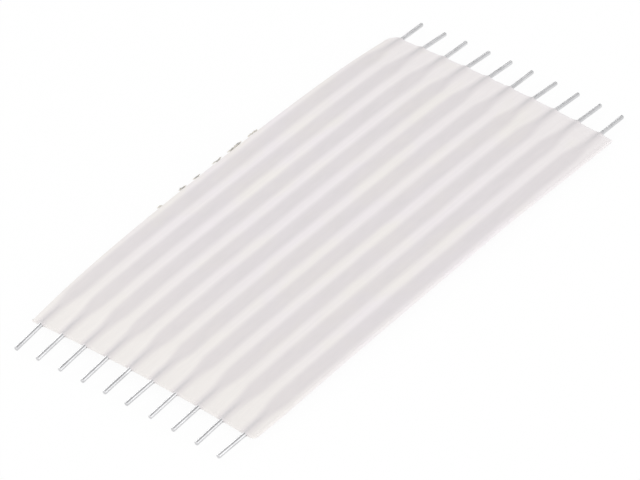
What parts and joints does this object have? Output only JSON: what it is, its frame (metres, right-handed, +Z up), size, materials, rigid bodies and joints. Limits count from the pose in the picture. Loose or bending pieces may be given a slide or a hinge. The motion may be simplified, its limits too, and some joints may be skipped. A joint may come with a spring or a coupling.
{
  "type": "flexible jumper cable",
  "caption": "Flat flexible jumper: tinned wires laminated side by side between two white insulating films, left round at both ends as solder pins that link two boards.",
  "frame": {"origin": "on the table that the strip lies on, under the middle of its bounding box", "axes": "+X across the row of wires from the first to the last, +Y along the wires from the near pins to the far pins, +Z up from the table"},
  "size_m": [0.0254, 0.0578, 0.0018],
  "materials": {
    "film": "satin white laminate, slightly translucent",
    "tinned_wire": "tinned copper, drawn satin"
  },
  "bodies": {
    "root": {"upper_film": "film", "lower_film": "film", "conductor_01": "tinned_wire", "conductor_02": "tinned_wire", "conductor_03": "tinned_wire", "conductor_04": "tinned_wire", "conductor_05": "tinned_wire", "conductor_06": "tinned_wire", "conductor_07": "tinned_wire", "conductor_08": "tinned_wire", "conductor_09": "tinned_wire", "conductor_10": "tinned_wire"}
  },
  "joints": []
}
